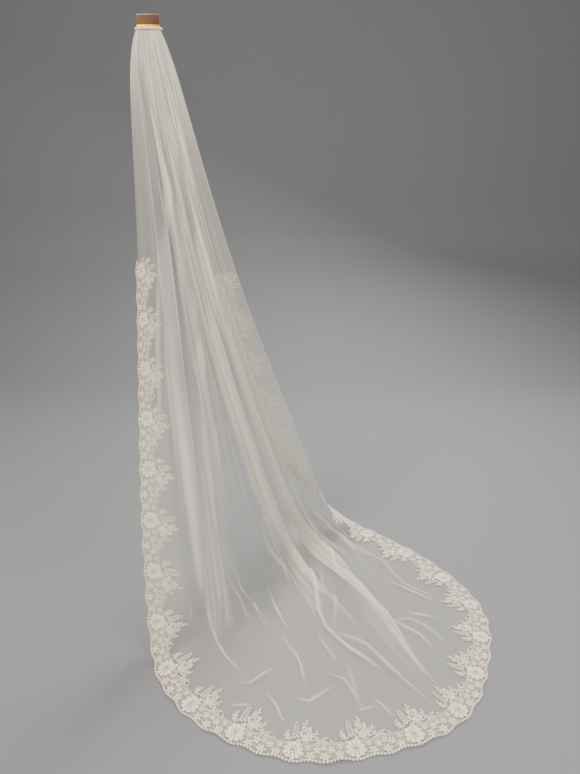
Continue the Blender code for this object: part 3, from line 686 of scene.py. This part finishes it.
def lace_repeat():
    """One repeat of the lace: a scalloped edge with a large flower, small flowers on an open ground, a
    ladder braid, and sprays of leaves above it."""
    draw = Drawing()
    half = 1000 * LACE_REPEAT / 2
    bars = np.arange(-half, half - 1e-6, half / 15)
    for start in bars:
        for lean in (-16.0, 16.0):
            line = [(start + lean * k / 4, -6.5 + 45 * k / 4) for k in range(5)]
            draw.cord(line, 1.5, 0.35, 0.1)
    for level in (4.0, 15.0, 26.0):
        draw.cord_in_parts([(x, level) for x in np.linspace(-half, half, 19)], 1.4, 0.35, 0.12)
    waves = np.linspace(-half, half, 37)
    outer = -8.6 - 3.4 * np.cos(tau * waves / half)
    draw.cord_in_parts(np.stack([waves, outer], 1), 2.4, 0.9, 0.3)
    for x in np.arange(-half + half / 18, half, half / 9):
        y = -8.6 - 3.4 * cos(tau * x / half)
        draw.petal(x, y + 2.0, -pi / 2, 8.4, 7.6, 1.1, 0.35, 1.7)
    for level in (36.5, 43.0):
        line = np.stack([waves, level + 1.6 * np.cos(tau * waves / half)], 1)
        draw.cord_in_parts(line, 2.0, 0.9, 0.35)
    for x in np.arange(-half + 2.4, half, 4.7917):
        y = 39.7 + 1.6 * cos(tau * x / half)
        draw.knot(x, y, 1.7, 0.8, 0.3, 6)
    for k in range(10):
        angle = tau * (k + 0.5) / 10
        reach = 18.5 if k % 2 else 16.5
        draw.petal(11 * cos(angle), 19 + 11 * sin(angle), angle, reach, 13.6, 1.7, 0.7, 1.7)
    for k in range(8):
        angle = tau * k / 8
        draw.petal(7 * cos(angle), 19 + 7 * sin(angle), angle, 11.0, 8.8, 1.5, 1.7, 1.7)
    draw.ring(0, 19, 7.0, 2.4, 0.9, 2.0)
    draw.knot(0, 19, 1.8, 0.9, 1.2, 6)
    for blossom in (
        (-47, 6, 5, 12.5, 0.3), (47, 6, 5, 12.5, 0.9), (86, 1, 6, 13.5, 0.1), (-67, 22, 5, 11.5, 0.7),
        (66, 23, 5, 11.5, 0.2), (40, 29, 5, 8.5, 0.5), (-41, 29, 5, 8.5, 1), (86, 28, 5, 9, 0.6),
        (-25, 63, 5, 6.5, 0.2), (41, 60, 6, 11, 0.3), (26, 56, 5, 8.5, 0.8), (11, 49, 5, 7.5, 0.3),
        (36, 49, 5, 7.5, 0.6),
    ):
        draw.blossom(*blossom)
    oval = np.linspace(0, tau, 19)
    tall = 79 - 25 * np.cos(oval) * (1 - 0.12 * np.cos(oval))
    draw.cord(np.stack([-1.5 + 7.2 * np.sin(oval), tall], 1), 3.6, 1.1)
    for y in (58, 66, 74, 82, 90):
        draw.petal(-1.5, y, pi / 2 + 0.6, 8.0, 3.4)
        draw.petal(-1.5, y, pi / 2 - 0.6, 8.0, 3.4)
    for sprig in (
        (((-33, 44), (-31, 58), (-27, 71)), 12, 4), (((5, 42), (12, 57), (17, 72)), 13, 4),
        (((16, 42), (21, 64), (26, 86), (31, 106)), 14, 7), (((25, 43), (34, 62), (42, 82)), 13.5, 5),
        (((42, 44), (54, 58), (65, 74)), 12.5, 5), (((58, 44), (76, 47), (92, 55)), 10.5, 6),
    ):
        draw.sprig(*sprig)
    for x, y, angle, length, width, curl in (
        (-20, 46, 1.7, 17, 8, 0), (-14, 50, 1.25, 13, 6.5, 0), (29, 88, 2.35, 13, 5.5, 0),
        (31, 86, 0.35, 19, 6.5, -0.2), (38, 72, 0.80, 25, 8, 0.2), (50, 54, 1.35, 24, 8, 0.25),
        (58, 52, 0.30, 20, 7.5, 0.25), (66, 45, 0.75, 15, 6, 0), (84, 44, 0.20, 16, 5.5, -0.3),
        (-60, 44, 2.2, 12, 5.5, 0),
    ):
        draw.petal(x, y, angle, length, width, curl=curl)
    return np.concatenate(draw.points), draw.faces, np.array(draw.owners), np.array(draw.middles)


def mesh_object(name, points, faces, uv=None, floats=None):
    """A new object from points and faces. uv: one place for each point. floats: named values."""
    mesh = bpy.data.meshes.new(name)
    mesh.from_pydata(np.asarray(points).tolist(), [], faces)
    if uv is not None:
        layer = mesh.uv_layers.new(name="cloth")
        corners = np.empty(len(mesh.loops), int)
        mesh.loops.foreach_get("vertex_index", corners)
        layer.data.foreach_set("uv", np.asarray(uv, float)[corners].ravel())
    for key, values in (floats or {}).items():
        mesh.attributes.new(key, "FLOAT", "POINT").data.foreach_set("value", np.asarray(values, float))
    mesh.polygons.foreach_set("use_smooth", np.ones(len(mesh.polygons), bool))
    mesh.update()
    thing = bpy.data.objects.new(name, mesh)
    bpy.context.scene.collection.objects.link(thing)
    return thing


def plug(tree, value, place):
    """Gives a node's input a wire or a plain value."""
    if isinstance(value, Wire):
        tree.links.new(value.socket, place)
    else:
        place.default_value = value


class Wire:
    """A node's output that takes sums in plain notation."""

    def __init__(self, tree, socket):
        self.tree, self.socket = tree, socket

    def math(self, operation, *others):
        node = self.tree.nodes.new("ShaderNodeMath")
        node.operation = operation
        for place, value in zip(node.inputs, (self, *others)):
            plug(self.tree, value, place)
        return Wire(self.tree, node.outputs[0])

    def held(self):
        """The same, held between 0 and 1."""
        return self.math("MINIMUM", 1.0).math("MAXIMUM", 0.0)

    def __add__(self, other):
        return self.math("ADD", other)

    __radd__ = __add__

    def __mul__(self, other):
        return self.math("MULTIPLY", other)

    __rmul__ = __mul__

    def __sub__(self, other):
        return self.math("SUBTRACT", other)

    def __rsub__(self, other):
        return (self * -1.0) + other


class Material:
    """A Principled material that is built up node by node. constants: what is the same all over."""

    def __init__(self, name, **constants):
        self.data = bpy.data.materials.new(name)
        self.data.use_nodes = True
        self.tree = self.data.node_tree
        self.shader = self.tree.nodes["Principled BSDF"]
        for key, value in constants.items():
            self.shader.inputs[key.replace("_", " ")].default_value = value

    def node(self, kind, output, settings=None, **inputs):
        """A node of that kind. Inputs are named by the socket, or by i and its number."""
        node = self.tree.nodes.new("ShaderNode" + kind)
        for key, value in (settings or {}).items():
            setattr(node, key, value)
        for key, value in inputs.items():
            plug(self.tree, value, node.inputs[int(key[1:]) if key[1:].isdigit() else key])
        return Wire(self.tree, node.outputs[output])

    def noise(self, place, scale, detail):
        """A noise over a place."""
        return self.node("TexNoise", 0, Vector=place, Scale=scale, Detail=detail)

    def mix(self, share, low, high):
        """A colour between two others."""
        low, high = (each if isinstance(each, Wire) else (*each, 1.0) for each in (low, high))
        return self.node("Mix", 2, {"data_type": "RGBA"}, i0=share, i6=low, i7=high)

    def feed(self, **wires):
        """Links wires to the shader's own sockets."""
        for key, wire in wires.items():
            self.tree.links.new(wire.socket, self.shader.inputs[key.replace("_", " ")])

    def bumps(self, height, strength, distance):
        """The shader's normal, roughened by a height."""
        self.feed(Normal=self.node("Bump", 0, Strength=strength, Distance=distance, Height=height))


def shade(colour, shares):
    """A colour made darker, each of its channels by its own share."""
    return tuple(channel * share for channel, share in zip(colour, shares))


def tulle_material(colour):
    """Sheer ivory net: how much of it there is comes from the cloth itself, and its cells are fine."""
    paint = Material(
        "ivory_tulle", Roughness=0.62, Specular_IOR_Level=0.25,
        Sheen_Weight=0.35, Sheen_Roughness=0.45, Sheen_Tint=(1.0, 0.95, 0.86, 1.0),
    )
    place = paint.node("UVMap", 0, {"uv_map": "cloth"})
    amount = paint.node("Attribute", 2, {"attribute_name": "cover"})
    cloudy = paint.noise(place, 9.0, 3.0)
    streaks = paint.node("Mapping", 0, Vector=place, Scale=(60.0, 2.5, 1.0))
    threads = paint.noise(streaks, 1.0, 4.0)
    cells = paint.node("TexVoronoi", 0, {"feature": "DISTANCE_TO_EDGE"}, Vector=place, Scale=620.0)
    net = cells.math("LESS_THAN", 0.16)
    amount = amount * (0.82 + 0.20 * cloudy + 0.22 * threads) * (0.86 + 0.20 * net)
    paint.feed(
        Base_Color=paint.mix(threads * 0.6 + cloudy * 0.4, shade(colour, (0.90, 0.86, 0.82)), colour),
        Alpha=amount.math("MINIMUM", 0.97),
    )
    paint.bumps(net, 0.25, 0.0004)
    return paint.data


def lace_material(colour):
    """Corded ivory lace: ivory on its raised threads, with shade painted tan into its hollows."""
    paint = Material("ivory_lace", Roughness=0.72, Sheen_Weight=0.25)
    place = paint.node("UVMap", 0, {"uv_map": "cloth"})
    rise = paint.node("Attribute", 2, {"attribute_name": "rise"})
    cloudy = paint.noise(place, 14.0, 3.0)
    diagonal = {"bands_direction": "DIAGONAL"}
    threads = paint.node("TexWave", 1, diagonal, Vector=place, Scale=520.0, Distortion=6.0)
    grains = paint.noise(place, 900.0, 2.0)
    # pale: share of the ivory, lower where the relief is low, which paints shade into the hollows; the noise
    # adds random tone
    pale = (rise * 2.4 + cloudy * 0.5 + threads * 0.15 - 0.45).held()
    paint.feed(Base_Color=paint.mix(pale, shade(colour, (0.64, 0.54, 0.42)), colour))
    paint.bumps(threads * 0.7 + grains * 0.5, 0.5, 0.0005)
    return paint.data


def satin_material(colour):
    """Cream satin, smooth across and faintly ribbed by its gathers."""
    paint = Material("cream_satin", Roughness=0.34, Sheen_Weight=0.4, Anisotropic=0.5)
    place = paint.node("TexCoord", 3)
    ribs = paint.node("Mapping", 0, Vector=place, Scale=(420.0, 60.0, 60.0))
    threads = paint.noise(ribs, 1.0, 3.0)
    cloudy = paint.noise(place, 60.0, 3.0)
    paint.feed(
        Base_Color=paint.mix(cloudy, shade(colour, (0.90, 0.86, 0.80)), colour),
        Roughness=0.28 + 0.16 * threads,
    )
    paint.bumps(threads, 0.35, 0.0008)
    return paint.data


def comb_material(amber, gold):
    """Gilt over amber: rails and tips painted paler as a painted highlight, a golden foot and fine drawn
    lines along the teeth.
    """
    paint = Material("gilt_comb", Roughness=0.4, Metallic=1.0, Specular_Tint=(0.40, 0.21, 0.04, 1.0))
    place = paint.node("TexCoord", 3)
    height = paint.node("SeparateXYZ", 2, Vector=place)
    lines = paint.node("Mapping", 0, Vector=place, Scale=(1400.0, 300.0, 30.0))
    drawn = paint.noise(lines, 1.0, 3.0)
    # wear_and_glint: noise for random wear over the teeth, which also breaks up the painted highlight at the
    # top
    wear_and_glint = paint.noise(place, 130.0, 4.0)
    # tip_highlight: a painted highlight, the comb's top above 36.5 mm painted pale as if it catches the
    # light
    tip_highlight = ((height - 0.0365) * 400.0).held()
    foot = ((0.0075 - height) * 900.0).held()
    teeth = paint.mix(wear_and_glint * 0.4 + drawn * 0.6, shade(amber, (0.12, 0.09, 0.06)), amber)
    whole = paint.mix(foot, teeth, gold)
    paint.feed(
        Base_Color=paint.mix(tip_highlight * wear_and_glint, whole, (0.86, 0.72, 0.47)),
        Roughness=0.34 + 0.25 * wear_and_glint,
    )
    paint.bumps(drawn + wear_and_glint * 0.6, 0.3, 0.0004)
    return paint.data


def floor_material(lightness):
    """A plain pale floor with a faint mottle."""
    paint = Material("studio_floor", Roughness=0.75)
    place = paint.node("TexCoord", 3)
    cloudy = paint.noise(place, 0.8, 2.0)
    dark = (lightness * 0.95, lightness * 0.965, lightness)
    paint.feed(Base_Color=paint.mix(cloudy, dark, (lightness, lightness * 1.005, lightness * 1.02)))
    return paint.data


def grid_places():
    """The places across and down where the shown cloth has its points, closest under the binding."""
    across = np.linspace(0.0, 1.0, POINTS_ACROSS)
    top = TOP_END * np.linspace(0.0, 1.0, POINTS_DOWN_TOP + 1)[:-1] ** 1.2
    fall = np.linspace(TOP_END, 1.0, POINTS_DOWN_FALL + 1)[:-1]
    train = np.linspace(1.0, 2.0, POINTS_DOWN_TRAIN)
    return np.meshgrid(across, np.concatenate([top, fall, train]), indexing="ij")


def layer_cover(points, across, down, added, one_layer):
    """How much the net hides at each point: gathers too fine to model count as more layers."""
    step = np.linalg.norm(np.gradient(points, axis=0), axis=-1)
    wide = TULLE_WIDTH + (HEM_LENGTH - TULLE_WIDTH) * np.clip(down - 1.0, 0.0, 1.0)
    layers = np.clip(wide / (len(across) - 1) / np.maximum(step, 1e-6), 1.0, MOST_LAYERS)
    sheer = RIGHT_SHEER * eased(0.70, 0.78, across) * eased(0.12, 0.32, down)
    layers = 1 + (layers - 1) * (1 - eased(0.9, 1.3, down)) * (1 - sheer) + 2 * added
    return 1 - (1 - one_layer) ** np.maximum(layers, 0.7)


def colour_setting(name, description, default):
    """A setting that holds one colour."""
    return bpy.props.FloatVectorProperty(
        name=name, description=description, default=default, size=3, min=0.0, max=1.0, subtype="COLOR",
    )


def number_setting(name, description, default, least, most, **kind):
    """A setting that holds one number."""
    return bpy.props.FloatProperty(
        name=name, description=description, default=default, min=least, max=most, **kind
    )


class VeilSettings(bpy.types.PropertyGroup):
    """What can be changed about the dressed veil."""

    tulle_colour: colour_setting("Tulle", "Colour of the net", (1.0, 0.93, 0.79))
    lace_colour: colour_setting("Lace", "Colour of the lace's raised threads", (1.0, 0.92, 0.76))
    satin_colour: colour_setting("Satin", "Colour of the binding and its stitches", (0.98, 0.94, 0.85))
    amber_colour: colour_setting("Amber", "Colour of the comb's teeth", (0.21, 0.105, 0.006))
    gold_colour: colour_setting("Gold", "Colour of the comb's foot", (0.90, 0.52, 0.09))
    one_layer: number_setting(
        "Net density", "How much one layer of tulle hides", 0.15, 0.05, 0.9, subtype="FACTOR",
    )
    lace_rise: number_setting(
        "Lace rise", "Scale of the lace's relief", 1.0, 0.2, 2.0, subtype="FACTOR",
    )
    stitch_size: number_setting(
        "Stitch size", "Radius of the stitches under the binding", 0.0007, 0.0003, 0.002, unit="LENGTH",
    )
    floor_lightness: number_setting(
        "Floor lightness", "How pale the floor is", 0.24, 0.1, 0.9, subtype="FACTOR",
    )
    light_power: number_setting(
        "Key light", "Power of the largest lamp", 260.0, 1.0, 2000.0, unit="POWER",
    )


def comb_bend(x):
    """How far the comb and its binding curve back at a place along them."""
    return COMB_BEND * (2 * x / COMB_WIDTH) ** 2


def node_named(name):
    """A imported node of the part, or a plain error."""
    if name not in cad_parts:
        raise RuntimeError(f"the packed part has no node {name}")
    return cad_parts[name]


class VEIL_OT_tulle(bpy.types.Operator):
    """Makes the gathered tulle in place of its solid"""

    bl_idname = "veil.tulle"
    bl_label = "Tulle"

    def execute(self, context):
        node_named("tulle_panel")
        across, down = grid_places()
        points, added = relief(across, down)
        settings = context.scene.veil
        cover = layer_cover(points, across, down, added, settings.one_layer)
        faces = grid_faces(*across.shape)
        on_floor = COMB_HEIGHT + (down - 1.0) * (CUT_LENGTH - COMB_HEIGHT)
        length = np.where(down < 1.0, down * COMB_HEIGHT, on_floor)
        uv = np.stack([across * HEM_LENGTH, length], -1).reshape(-1, 2)
        tulle = mesh_object("tulle", points.reshape(-1, 3), faces, uv, {"cover": cover.ravel()})
        tulle.data.materials.append(tulle_material(settings.tulle_colour))
        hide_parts("tulle_panel")
        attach(tulle, BODY)
        return {"FINISHED"}


class VEIL_OT_lace(bpy.types.Operator):
    """Makes the lace border, stretch by stretch, in place of its solids"""

    bl_idname = "veil.lace"
    bl_label = "Lace border"

    def execute(self, context):
        shape, faces, owners, middles = lace_repeat()
        settings = context.scene.veil
        under, finish = lace_ground(), lace_material(settings.lace_colour)
        faces = np.array([face if len(face) == 4 else (*face, -1) for face in faces])
        first, last = -LACE_SIDE_REPEATS, LACE_HEM_REPEATS + LACE_SIDE_REPEATS - 1
        # shade_lifted: painted light, the share of the painted hollow shade that is taken off the stretch
        for name, repeats, shade_lifted in LACE_STRETCHES:
            node_named(name)
            number = np.repeat(np.arange(repeats), len(shape))
            along, depth, rise = np.tile(shape / 1000, (repeats, 1)).T
            distance = lace_distance(first + number + along / LACE_REPEAT)
            ground, out, inward = on_ground(under, distance, depth)
            height = LACE_CLEAR + rise * settings.lace_rise
            points = ground + inward * np.minimum(depth, 0.0)[:, None] + out * height[:, None]
            shown = []
            for k in range(repeats):
                kept = np.ones(len(middles), bool)
                if first + k == -LACE_SIDE_REPEATS:
                    kept = middles > FIRST_CUT
                if first + k == last:
                    kept = middles < LAST_CUT
                for face in faces[kept[owners]]:
                    shown.append([len(shape) * k + corner for corner in face if corner >= 0])
            used = np.unique(np.concatenate(shown))
            renumbered = np.zeros(len(points), int)
            renumbered[used] = np.arange(len(used))
            shown = [renumbered[face].tolist() for face in shown]
            flat = np.stack([along + LACE_REPEAT * number, depth], 1)
            # pale: painted shade, from 0 on the lowest relief, painted darkest, up to 1 from PALE_RISE; kept
            # as the rise attribute
            pale = np.clip(1000 * rise / PALE_RISE + shade_lifted, 0.0, 1.0)
            lace = mesh_object(name + "_dressed", points[used], shown, flat[used], {"rise": pale[used]})
            lace.data.materials.append(finish)
            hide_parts(name)
            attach(lace, BODY)
            first += repeats
        return {"FINISHED"}


class VEIL_OT_binding(bpy.types.Operator):
    """Makes the puffed satin binding and the stitches under it"""

    bl_idname = "veil.binding"
    bl_label = "Binding"

    def execute(self, context):
        node_named("header_binding")
        places = np.sin(np.linspace(-0.5, 0.5, BINDING_RINGS) * pi)
        angles = tau * (np.arange(BINDING_SIDES) + 0.5) / BINDING_SIDES
        points = []
        for share in places:
            size = sqrt(max(0.0, 1.0 - abs(share) ** 8)) * 0.75 + 0.25
            pucker = 1.0 + 0.035 * sin(61 * share + 1.3 * sin(17 * share))
            size *= pucker + 0.02 * sin(137 * share)
            x = share * BINDING_WIDTH / 2
            for angle in angles:
                y, z = cos(angle), sin(angle)
                y = copysign(abs(y) ** 0.6, y) * BINDING_DEPTH / 2 * size
                z = copysign(abs(z) ** 0.6, z) * BINDING_TALL / 2
                groove = SEAM_DEPTH * exp(-(((z + SEAM_DOWN) / 0.0007) ** 2))
                z = z if z < 0 else min(z * size, BINDING_TALL / 2 - 0.0002)
                points.append((x, y + comb_bend(x) - copysign(groove, y), z - BINDING_TALL / 2))
        faces = grid_faces(BINDING_RINGS, BINDING_SIDES, closed=True)
        faces.append(tuple(reversed(range(BINDING_SIDES))))
        faces.append(tuple(range(len(points) - BINDING_SIDES, len(points))))
        binding = mesh_object("binding", points, faces)
        settings = context.scene.veil
        satin = satin_material(settings.satin_colour)
        binding.data.materials.append(satin)
        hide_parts("header_binding")
        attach(binding, BODY)
        bpy.ops.object.select_all(action="DESELECT")
        made = []
        for side in (-1, 1):
            for x in np.linspace(-STITCHED_HALF, STITCHED_HALF, STITCHES):
                bpy.ops.mesh.primitive_uv_sphere_add(segments=8, ring_count=6, radius=settings.stitch_size)
                made.append(bpy.context.object)
                y = side * 0.0088 + comb_bend(x)
                made[-1].data.transform(((1.6, 0, 0, x), (0, 0.7, 0, y), (0, 0, 0.7, -0.0069), (0, 0, 0, 1)))
        for each in made:
            each.select_set(True)
        bpy.context.view_layer.objects.active = made[0]
        bpy.ops.object.join()
        stitches = bpy.context.object
        stitches.name = "binding_stitches"
        bpy.ops.object.shade_smooth()
        stitches.data.materials.append(satin)
        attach(stitches, BODY)
        return {"FINISHED"}


class VEIL_OT_comb(bpy.types.Operator):
    """Gives the comb its gilt finish"""

    bl_idname = "veil.comb"
    bl_label = "Comb finish"

    def execute(self, context):
        comb = node_named("hair_comb")
        settings = context.scene.veil
        finish = comb_material(settings.amber_colour, settings.gold_colour)
        for place in comb.material_slots:
            place.material = finish
        if not comb.material_slots:
            comb.data.materials.append(finish)
        return {"FINISHED"}


class VEIL_OT_stage(bpy.types.Operator):
    """Sets up the floor, the lamps and the camera"""

    bl_idname = "veil.stage"
    bl_label = "Studio"

    def execute(self, context):
        bpy.ops.object.select_all(action="DESELECT")
        settings = context.scene.veil
        bpy.ops.mesh.primitive_grid_add(x_subdivisions=2, y_subdivisions=90, size=2.0)
        floor = bpy.context.object
        floor.name = "studio_floor"
        for point in floor.data.vertices:
            x, y = point.co.x * 9.0 + 0.5, (point.co.y + 1.0) * 6.5 - 6.0
            up = max(0.0, y - 2.2)
            rise = 0.25 * min(up, 2.0) ** 2 + max(0.0, up - 2.0) * 2.0
            point.co = (x, min(y, 4.2), -COMB_HEIGHT - FLOOR_GAP + rise)
        bpy.ops.object.shade_smooth()
        floor.data.materials.append(floor_material(settings.floor_lightness))
        for name, place, aim, size, share, colour in LAMPS:
            lamp = bpy.data.lights.new(name, "AREA")
            lamp.energy, lamp.size, lamp.color = settings.light_power * share, size, colour
            thing = bpy.data.objects.new(name, lamp)
            away = np.array(place) - np.array(aim)
            flat = hypot(away[0], away[1])
            thing.location = place
            thing.rotation_euler = (atan2(flat, away[2]), 0.0, atan2(away[0], -away[1]))
            context.scene.collection.objects.link(thing)
        world = bpy.data.worlds.new("studio")
        world.use_nodes = True
        sky = world.node_tree.nodes["Background"]
        sky.inputs["Color"].default_value = SKY_COLOUR
        sky.inputs["Strength"].default_value = SKY_STRENGTH
        context.scene.world = world
        eye = bpy.data.cameras.new("photo_view")
        eye.lens, eye.sensor_width = CAMERA_LENS, CAMERA_SENSOR
        camera = bpy.data.objects.new("photo_view", eye)
        camera.location = CAMERA_PLACE
        camera.rotation_euler = (radians(CAMERA_TILT), 0.0, 0.0)
        context.scene.collection.objects.link(camera)
        context.scene.camera = camera
        return {"FINISHED"}


class VEIL_PT_panel(bpy.types.Panel):
    """The veil's settings and steps"""

    bl_label = "Bridal veil"
    bl_idname = "VEIL_PT_panel"
    bl_space_type = "VIEW_3D"
    bl_region_type = "UI"
    bl_category = "Veil"

    def draw(self, context):
        settings = context.scene.veil
        for key in VeilSettings.__annotations__:
            self.layout.prop(settings, key)
        for step in STEPS:
            self.layout.operator(step.bl_idname)


STEPS = (VEIL_OT_tulle, VEIL_OT_lace, VEIL_OT_binding, VEIL_OT_comb, VEIL_OT_stage)
CLASSES = (VeilSettings, *STEPS, VEIL_PT_panel)


def register():
    """Adds the settings, the steps and the panel to Blender."""
    for each in CLASSES:
        bpy.utils.register_class(each)
    bpy.types.Scene.veil = bpy.props.PointerProperty(type=VeilSettings)


def unregister():
    """Takes them away again."""
    del bpy.types.Scene.veil
    for each in reversed(CLASSES):
        bpy.utils.unregister_class(each)


def main():
    register()
    bpy.ops.object.select_all(action="DESELECT")
    bpy.ops.veil.tulle()
    bpy.ops.veil.lace()
    bpy.ops.veil.binding()
    bpy.ops.veil.comb()
    bpy.ops.veil.stage()


if __name__ == "__main__":
    main()
